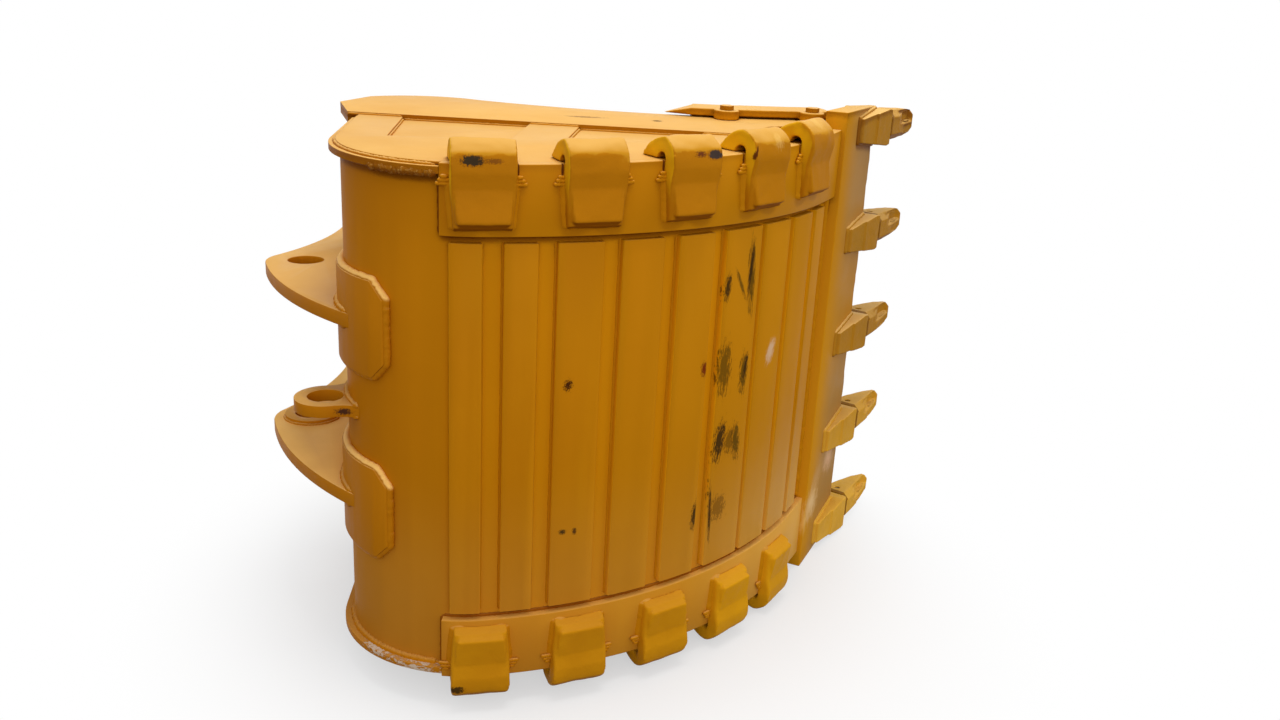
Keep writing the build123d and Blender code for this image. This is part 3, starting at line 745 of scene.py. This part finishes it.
def roundPlate(nodeName):
    mesh = mergedCopy(nodeName)
    holder = holderOf(mesh)
    bevel = holder.modifiers.new("edge", "BEVEL")
    bevel.width = plates["edges"].get(nodeName.split("_")[0], plates["edge"])
    bevel.segments = plates["segments"]
    bevel.limit_method = "ANGLE"
    bevel.angle_limit = plates["sharp"]
    bevel.harden_normals = True
    for face in mesh.polygons:
        face.use_smooth = True
    mesh = evaluated(holder)
    if nodeName == "lip":
        wearEdge(mesh, lipWear)
    paint, slotName = next(row[1:] for row in plateCoats if nodeName.startswith(row[0]))
    addPiece(camel(nodeName), mesh, paint, [nodeName])


# both faces of a point are hollowed deeper above its rib
toothRows = (0.64, 0.32, 0.0, -0.32, -0.64)  # heights over the middle plane
scoops = {
    "heading": math.radians(52),
    "origin": (0.63929, 0.45827, 0),
    "depth": 0.010,
    "start": (0.125, 0.185),  # spans ahead of the origin in which the hollow begins and ends
    "end": (0.300, 0.284),
    "rib": (-0.002, 0.006),  # spans above a tooth's middle
    "ridge": (0.042, 0.033),
    "facing": (0.2, 0.5),
}
# castings lose their sharp corners and get the lumps of the mould
castings = {
    "shroud": {
        "paint": "shroudPaint",
        "voxel": 0.0024,
        "passes": 9,
        "lump": 0.0018,
        "lumpSize": 0.055,
        "brow": 1.318,  # height from which the lumps grow
        "browReach": 0.02,
        "browLump": 1.2,
        "cap": 0.042,  # height of the rounder cap
        "upperPasses": 8,
        "lowerPasses": 45,
    },
    "adapter": {"paint": "toothPaint", "voxel": 0.0022, "passes": 2, "lump": 0.0006, "lumpSize": 0.035},
    "point": {"paint": "pointPaint", "voxel": 0.0022, "passes": 2, "lump": 0.0006, "lumpSize": 0.030},
    "side_cutter": {"paint": "platePaint", "voxel": 0.0030, "passes": 2, "lump": 0.0005, "lumpSize": 0.060},
}
fineLump = {"share": 0.35, "size": 0.4}  # of the main lumps


def smoothStep(value, ends):
    share = min(max((value - ends[0]) / (ends[1] - ends[0]), 0), 1)
    return share * share * (3 - 2 * share)


def scoopShift(vert, spec):
    c, s = math.cos(spec["heading"]), math.sin(spec["heading"])
    ahead, out = Vector((c, s, 0)), Vector((s, -c, 0))
    spot = vert.co - shift - Vector(spec["origin"])
    rise = min((spot.z - level for level in toothRows), key=abs)
    share = smoothStep(spot.dot(ahead), spec["start"]) * smoothStep(spot.dot(ahead), spec["end"])
    share *= smoothStep(rise, spec["rib"]) * smoothStep(rise, spec["ridge"])
    share *= smoothStep(abs(vert.normal.dot(out)), spec["facing"])
    return -out * math.copysign(share * spec["depth"], spot.dot(out))


def smoothed(bm, verts, passes):
    axes = {"use_axis_x": True, "use_axis_y": True, "use_axis_z": True}
    for _ in range(passes):
        bmesh.ops.smooth_vert(bm, verts=verts, factor=0.5, **axes)


def castPiece(nodeName, kind):
    spec = castings[kind]
    pattern = holderOf(mergedCopy(nodeName))
    holder = holderOf(pattern.data)
    remesh = holder.modifiers.new("mould", "REMESH")
    remesh.mode = "VOXEL"
    remesh.voxel_size = spec["voxel"]
    wrap = holder.modifiers.new("skin", "SHRINKWRAP")  # takes the steps of the voxels out
    wrap.wrap_method = "NEAREST_SURFACEPOINT"
    wrap.target = pattern
    mesh = evaluated(holder)
    bpy.data.objects.remove(pattern)
    bm = bmesh.new()
    bm.from_mesh(mesh)
    smoothed(bm, bm.verts, spec["passes"])
    if "cap" in spec:
        low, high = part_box(nodeName)
        upper = low[2] > shift.z
        edge = high[2] - spec["cap"] if upper else low[2] + spec["cap"]
        cap = [vert for vert in bm.verts if (vert.co.z > edge) == upper]
        smoothed(bm, cap, spec["upperPasses"] if upper else spec["lowerPasses"])
    bm.normal_update()
    for vert in bm.verts:
        lump = noise.noise(vert.co / spec["lumpSize"])
        if "brow" in spec:
            above = min(max((vert.co.z - spec["brow"]) / spec["browReach"], 0), 1)
            lump *= 1 + spec["browLump"] * above
        lump += fineLump["share"] * noise.noise(vert.co / (fineLump["size"] * spec["lumpSize"]))
        vert.co += vert.normal * lump * spec["lump"]
        if kind == "point":
            vert.co += scoopShift(vert, scoops)
    for face in bm.faces:
        face.smooth = True
    bm.to_mesh(mesh)
    bm.free()
    addPiece(camel(nodeName), mesh, spec["paint"], [nodeName])
    return len(mesh.polygons)


castFaces = 0
for nodeName in sorted(nodes):
    kind = next((start for start in castings if nodeName.startswith(start)), None)
    if kind:
        castFaces += castPiece(nodeName, kind)
    else:
        roundPlate(nodeName)
print("plates and castings dressed,", castFaces, "faces in the castings")

# a bead of weld along the edges of a wire mesh, whose points carry its radius
beadInputs = ("Step", "Pitch", "Ripple", "Lump", "Wobble", "Taper", "Sides")
beads = {  # in the order of beadInputs
    "fine": (0.0045, 0.0110, 0.06, 0.30, 0.001, 0.008, 6),
    "plain": (0.0028, 0.0085, 0.09, 0.35, 0.003, 0.015, 8),
    "even": (0.0035, 0.0120, 0.02, 0.18, 0.004, 0.015, 8),
    "short": (0.0016, 0.0070, 0.05, 0.35, 0.001, 0.004, 8),
    "fillet": (0.0040, 0.0120, 0.0, 0.07, 0.002, 0.020, 22),
    "rough": (0.0032, 0.0100, 0.10, 0.80, 0.008, 0.010, 8),
}
beadNoise = {
    "sway": {"Scale": 45.0, "Detail": 2.0},
    "lump": {"Scale": 90.0, "Detail": 1.5},
    "tip": 0.35,  # share of the radius at the ends
}


def buildBeadTree(spec):
    tree = bpy.data.node_groups.new("weldBead", "GeometryNodeTree")
    sockets = [("Geometry", "Geometry")]
    sockets += [(name, "Int" if name == "Sides" else "Float") for name in beadInputs]
    for name, kind in sockets + [("Finish", "Material")]:
        tree.interface.new_socket(name, in_out="INPUT", socket_type=f"NodeSocket{kind}")
    tree.interface.new_socket("Geometry", in_out="OUTPUT", socket_type="NodeSocketGeometry")
    bead = Wiring(tree)

    def given(name):
        return bead.add("NodeGroupInput", out=name)

    line = bead.add("GeometryNodeMeshToCurve", None, {"Mesh": given("Geometry")})
    values = {"Curve": line, "Length": given("Step")}
    line = bead.add("GeometryNodeResampleCurve", {"mode": "LENGTH"}, values)
    spot = bead.add("GeometryNodeInputPosition")
    sway = bead.add("ShaderNodeTexNoise", None, {"Vector": spot, **spec["sway"]}, "Color")
    sway = bead.add("ShaderNodeVectorMath", {"operation": "SUBTRACT"}, {0: sway, 1: (0.5, 0.5, 0.5)})
    sway = bead.add("ShaderNodeVectorMath", {"operation": "SCALE"}, {0: sway, "Scale": given("Wobble")})
    line = bead.add("GeometryNodeSetPosition", None, {"Geometry": line, "Offset": sway})
    gone = bead.add("GeometryNodeSplineParameter", out="Length")
    left = bead.add("GeometryNodeSplineLength") - gone
    taper = gone.sum("MINIMUM", left).sum("DIVIDE", given("Taper")) + spec["tip"]
    wave = (gone * (2 * math.pi)).sum("DIVIDE", given("Pitch")).sum("SINE", 0.0)
    lump = bead.add("ShaderNodeTexNoise", None, {"Vector": spot, **spec["lump"]})
    swell = 1 + wave * given("Ripple") + (lump - 0.5) * given("Lump") * 2
    width = bead.add("GeometryNodeInputRadius") * swell * taper.sum("MINIMUM", 1.0)
    values = {"Resolution": given("Sides"), "Radius": 1.0}
    ring = bead.add("GeometryNodeCurvePrimitiveCircle", {"mode": "RADIUS"}, values)
    values = {"Curve": line, "Profile Curve": ring, "Scale": width, "Fill Caps": True}
    tube = bead.add("GeometryNodeCurveToMesh", None, values)
    tube = bead.add("GeometryNodeSetShadeSmooth", None, {"Geometry": tube, "Shade Smooth": True})
    tube = bead.add("GeometryNodeRealizeInstances", None, {"Geometry": tube})
    tube = bead.add("GeometryNodeSetMaterial", None, {"Geometry": tube, "Material": given("Finish")})
    bead.add("NodeGroupOutput", None, {0: tube})
    return tree


beadTree = buildBeadTree(beadNoise)


# routes are lists of points with a bead radius each
def beadPiece(name, routes, kind, paint):
    points, edges, radii = [], [], []
    for route, radius in routes:
        first = len(points)
        points += [tuple(p) for p in route]
        edges += [(first + i, first + i + 1) for i in range(len(route) - 1)]
        radii += [radius] * len(route)
    wire = bpy.data.meshes.new(name)
    wire.from_pydata(points, edges, [])
    wire.attributes.new("radius", "FLOAT", "POINT").data.foreach_set("value", radii)
    holder = holderOf(wire)
    modifier = holder.modifiers.new("bead", "NODES")
    modifier.node_group = beadTree
    values = {**dict(zip(beadInputs, beads[kind])), "Finish": paints[paint]}
    for item in beadTree.interface.items_tree:
        if item.in_out == "INPUT" and item.name in values:
            modifier[item.identifier] = values[item.name]
    mesh = evaluated(holder)
    addPiece(name, mesh, paint)
    return len(mesh.polygons)


# the shell's side profile, as a run back from the lip and an offset outwards, in metres
shell = {
    "joint": (0.5, 0.17),
    "lipAngle": math.radians(66),
    "legs": [  # length, and radius of a curve
        (0.125, None),
        (1.17 * math.radians(53), 1.17),
        (0.3 * math.radians(97), 0.3),
        (0.638, None),
    ],
    "heelHalf": 0.612,
    "flareFrom": -0.64,
    "flare": math.tan(math.radians(2.25)),
    "wall": 0.025,
    "sideWall": 0.016,
    "wearWall": 0.008,
    "band": 0.025,
    "end": 2.35319,
    "routeStep": 0.02,
}


def shellPoint(run, offset):
    at = Vector(shell["joint"])
    turn = shell["lipAngle"]
    for length, radius in shell["legs"]:
        part = min(run, length)
        if radius:
            at -= Vector((math.sin(turn), -math.cos(turn))) * radius
            turn -= part / radius
            at += Vector((math.sin(turn), -math.cos(turn))) * radius
        else:
            at -= Vector((math.cos(turn), math.sin(turn))) * part
        run -= part
        if run <= 0:
            break
    return at + Vector((math.sin(turn), -math.cos(turn))) * offset


# height over the middle plane of a layer on the flared side
def sideHeight(y, above):
    return shell["heelHalf"] + above + (y - shell["flareFrom"]) * shell["flare"]


def lift(spot, height):
    return Vector((spot[0], spot[1], height)) + shift


# a route over (run, offset, height) corners, finely divided so that it follows the shell
def shellRoute(*corners, onSide=None):
    route = []
    for first, last in zip(corners, corners[1:]):
        longest = max(abs(a - b) for a, b in zip(first, last))
        count = max(1, int(longest / shell["routeStep"]))
        for i in range(count + 1):
            run, offset, height = (a + (b - a) * i / count for a, b in zip(first, last))
            spot = shellPoint(run, offset)
            if onSide is not None:
                height = sideHeight(spot.y, onSide)
            if not route or i:
                route.append(lift(spot, height))
    return route


def mirrored(routes):
    twice = 2 * shift.z
    lower = [([Vector((p.x, p.y, twice - p.z)) for p in route], radius) for route, radius in routes]
    return routes + lower


# the horns of the bars rest on ends of the side plates, as x and y
horns = {
    "inset": 0.0006,
    "corners": [
        (-0.7935, -0.0305),
        (-0.8605, 0.1435),
        (-0.8140, 0.2835),
        (-0.8000, 0.2600),
        (-0.7840, 0.0500),
        (-0.7780, -0.0320),
    ],
}


def hornPlates(spec):
    bm = bmesh.new()
    count = len(spec["corners"])
    for turn in (1, -1):
        layers = []
        for above in (-spec["inset"], spec["inset"] - shell["sideWall"]):
            spots = [lift((x, y), turn * sideHeight(y, above)) for x, y in spec["corners"]]
            layers.append([bm.verts.new(spot) for spot in spots])
        bm.faces.new(layers[0])
        bm.faces.new(layers[1])
        for i in range(count):
            j = (i + 1) % count
            bm.faces.new((layers[0][i], layers[0][j], layers[1][j], layers[1][i]))
    bmesh.ops.recalc_face_normals(bm, faces=bm.faces)
    mesh = bpy.data.meshes.new("hornPlates")
    bm.to_mesh(mesh)
    bm.free()
    addPiece("hornPlates", mesh, "rimPaint")


# welds round the pads and the ears' feet, the pin bosses and the lifting eye
pads = {"bead": 0.0100, "from": 1.424, "cut": 0.04, "low": 0.113, "high": 0.342, "rise": 0.006}
ears = {"bead": 0.009, "from": 1.562, "faces": (0.210, 0.245), "rise": 0.017, "drop": -0.085}
bosses = {
    "bead": 0.005,
    "middles": ((-0.84503, 0.48013), (-0.92403, -0.01587)),
    "radius": 0.075,
    "height": 0.210,
    "parts": 48,
}
eye = {"bead": 0.008, "runs": (1.545, 1.740), "rise": 0.002, "half": 0.014}


def padRoutes(spec):
    end, start, cut = shell["end"], spec["from"], spec["cut"]
    low, high = spec["low"], spec["high"]
    corners = [
        (end, low),
        (start + cut, low),
        (start, low + cut),
        (start, high - cut),
        (start + cut, high),
        (end, high),
    ]
    route = shellRoute(*[(run, spec["rise"], height) for run, height in corners])
    return mirrored([(route, spec["bead"])])


def hingeRoutes():
    routes = []
    end, rise = shell["end"], ears["rise"]
    for face in ears["faces"]:
        route = shellRoute((ears["from"], rise, face), (end, rise, face), (end, ears["drop"], face))
        routes.append((route, ears["bead"]))
    turns = [2 * math.pi * i / bosses["parts"] for i in range(bosses["parts"] + 1)]
    radius = bosses["radius"]
    for x, y in bosses["middles"]:
        ring = [(x + radius * math.cos(a), y + radius * math.sin(a)) for a in turns]
        routes.append(([lift(spot, bosses["height"]) for spot in ring], bosses["bead"]))
    route = shellRoute(*[(run, eye["rise"], eye["half"]) for run in eye["runs"]])
    routes.append((route, eye["bead"]))
    return mirrored(routes)


# nine strips from the hinge to the lip, between the bands
strips = {
    "bead": 0.0042,
    "lipBead": 0.011,
    "first": 1.272,
    "widths": (0.068, 0.075, 0.107, 0.108, 0.106, 0.130, 0.117, 0.115, 0.080),
    "gaps": (0.046, 0.043, 0.045, 0.043, 0.042, 0.017, 0.025, 0.028, 0),
    "half": 0.45,
    "lipHalf": 0.462,
}
bands = {"bead": 0.0065, "endBead": 0.009, "inner": 0.465, "outer": 0.596, "end": 1.29}


def stripRoutes(spec):
    routes = []
    run, half, lipHalf = spec["first"], spec["half"], spec["lipHalf"]
    for width, gap in zip(spec["widths"], spec["gaps"]):
        for side in (run, run - width):
            routes.append((shellRoute((side, 0, -half), (side, 0, half)), spec["bead"]))
        run -= width + gap
    routes.append((shellRoute((0, 0, -lipHalf), (0, 0, lipHalf)), spec["lipBead"]))
    return routes


def bandRoutes(spec):
    inner, end = spec["inner"], spec["end"]
    along = shellRoute((0.0, 0, inner), (end, 0, inner))
    across = shellRoute((end, 0, inner), (end, 0, spec["outer"]))
    return mirrored([(along, spec["bead"]), (across, spec["endBead"])])


# at each side of a shroud a fillet runs up its skirt and ends in short runs, one above another
shroudBeads = {
    "first": 1.204,
    "pitch": 0.237,
    "count": 5,
    "half": 0.0685,  # half widths of the skirt, above and below
    "toe": 0.060,
    "start": 0.027,  # the fillet's corners, down from the top of the side
    "ankle": 0.057,
    "foot": 0.147,
    "flank": 0.029,
    "sunk": 0.016,  # the fillet's middle lies this far inside the band and the casting
    "lengths": (0.034, 0.025, 0.015),  # of the short runs
    "radius": 0.0048,
    "rise": 0.0074,
    "under": 0.042,
    "proud": 0.005,
    "apart": 0.006,
}


def shroudRoutes(spec):
    flanks, stacks = [], []
    sunk, band = spec["sunk"], shell["band"]
    for index in range(spec["count"]):
        middle = spec["first"] - index * spec["pitch"]
        for turn in (1, -1):
            edge, toe = middle + turn * spec["half"], middle + turn * spec["toe"]
            top = sideHeight(shellPoint(edge, band).y, shell["wearWall"])
            corners = [(edge, spec["start"]), (edge, spec["ankle"]), (toe, spec["foot"])]
            spots = [(run - turn * sunk, band - sunk, top - down) for run, down in corners]
            flanks.append((shellRoute(*spots), spec["flank"]))
            for row, length in enumerate(spec["lengths"]):
                height = top - spec["under"] + row * spec["rise"]
                start = edge + turn * spec["apart"]
                runs = (start - length / 2, start + length / 2)
                spots = [(run, band + spec["proud"], height) for run in runs]
                stacks.append((shellRoute(*spots), spec["radius"]))
    return mirrored(flanks), mirrored(stacks)


# the heel's rim: under it, along the slag of its upper edge, and round its outside
rim = {
    "under": 0.010,  # radii of the beads
    "edge": 0.0095,
    "ring": 0.0055,
    "from": 1.30,
    "edgeRuns": (1.295, 1.455),
    "edgeOut": 0.019,
    "edgeUp": 0.001,
    "ringOut": 0.010,
}


def rimRoutes(spec):
    start, end, low = spec["from"], shell["end"], -shell["sideWall"]
    under = shellRoute((start, 0, 0), (end, 0, 0), onSide=low)
    edge = shellRoute(*[(run, spec["edgeOut"], 0) for run in spec["edgeRuns"]], onSide=low + spec["edgeUp"])
    ring = shellRoute((start, spec["ringOut"], 0), (end, spec["ringOut"], 0), onSide=0.0)
    return mirrored([(under, spec["under"])]), [(edge, spec["edge"])], mirrored([(ring, spec["ring"])])


# corners inside the bowl, with the throat plate that closes the box at the hinge
bowl = {
    "corner": 0.011,  # radii of the beads
    "butt": 0.006,
    "foot": 0.010,
    "throat": 0.009,
    "lipRun": -0.165,
    "throatRun": 0.3,
    "throatDepth": 0.13,
    "buttHalf": 0.62,
    "throatHalf": 0.615,
}


def bowlRoutes(spec):
    inner, low, end = -shell["wall"], -shell["sideWall"], shell["end"]
    throat, half = end - spec["throatRun"], spec["buttHalf"]
    sides = [(shellRoute((0, inner, 0), (end, inner, 0), onSide=low), spec["corner"])]
    for above in (0.0, low):
        sides.append((shellRoute((spec["lipRun"], inner, 0), (0, inner, 0), onSide=above), spec["foot"]))
    box = shellRoute((throat, inner, 0), (end, inner - spec["throatDepth"], 0), onSide=low)
    sides.append((box, spec["throat"]))
    across = [(shellRoute((0, inner, -half), (0, inner, half)), spec["butt"])]
    half = spec["throatHalf"]
    across.append((shellRoute((throat, inner, -half), (throat, inner, half)), spec["throat"]))
    return mirrored(sides) + across


# round the straps of the adapters, as runs and half widths, outside and inside the lip
straps = (
    {"bead": 0.0075, "rise": 0.038, "long": (-0.322, 0.054), "short": (-0.130, 0.034)},
    {"bead": 0.008, "rise": -shell["wall"], "long": (-0.242, 0.046), "short": (-0.182, 0.039)},
)


def toothRoutes(specs):
    routes = []
    for level in toothRows:
        for spec in specs:
            (tip, wide), (root, narrow) = spec["long"], spec["short"]
            corners = [(tip, wide), (root, narrow), (root, -narrow), (tip, -wide)]
            route = shellRoute(*[(run, spec["rise"], level + half) for run, half in corners])
            routes.append((route, spec["bead"]))
    return routes


# lines of weld on the sides: along the bar and round the pockets, as x, y and height over the side plate
sideBeads = {
    "radius": 0.0045,
    "parts": 12,
    "lines": [
        ([(-0.794, -0.030), (-0.650, -0.0328)], 0.008),
        ([(-0.6487, -0.0330), (-0.3195, -0.0397)], 0.0),
        ([(-0.319, -0.0397), (-0.1897, -0.0422)], 0.008),
        ([(-0.1889, -0.0423), (0.1299, -0.0487)], 0.0),
        ([(0.1299, -0.0487), (0.2, -0.05), (0.32, 0.11)], 0.008),
        ([(-0.1889, -0.0423), (-0.205, -0.26), (0.06, -0.2), (0.1299, -0.0487)], 0.0),
        ([(-0.6487, -0.0330), (-0.618, -0.336), (-0.335, -0.3), (-0.3195, -0.0397)], 0.0),
    ],
}


def sideRoutes(spec):
    routes = []
    parts = spec["parts"]
    for corners, above in spec["lines"]:
        route = []
        for (x1, y1), (x2, y2) in zip(corners, corners[1:]):
            for i in range(parts + 1):
                x, y = x1 + (x2 - x1) * i / parts, y1 + (y2 - y1) * i / parts
                if not route or i:
                    route.append(lift((x, y), sideHeight(y, above)))
        routes.append((route, spec["radius"]))
    return mirrored(routes)


hornPlates(horns)
rimUnder, rimEdge, rimRing = rimRoutes(rim)
shroudFlanks, shroudStacks = shroudRoutes(shroudBeads)
beadFaces = [
    beadPiece("weldsHinge", hingeRoutes(), "plain", "weldPaint"),
    beadPiece("weldsStrips", stripRoutes(strips), "fine", "filletPaint"),
    beadPiece("weldsBands", bandRoutes(bands), "fine", "groovePaint"),
    beadPiece("weldsPads", padRoutes(pads), "even", "edgePaint"),
    beadPiece("weldsShrouds", shroudFlanks, "fillet", "filletPaint"),
    beadPiece("weldsStacks", shroudStacks, "short", "filletPaint"),
    beadPiece("weldsRim", rimUnder, "plain", "weldPaint"),
    beadPiece("weldsEdge", rimEdge, "rough", "slagPaint"),
    beadPiece("weldsRing", rimRing, "plain", "weldPaint"),
    beadPiece("weldsBowl", bowlRoutes(bowl), "plain", "weldPaint"),
    beadPiece("weldsTeeth", toothRoutes(straps), "even", "toothPaint"),
    beadPiece("weldsSides", sideRoutes(sideBeads), "fine", "weldPaint"),
]
print("welds laid, faces", beadFaces)
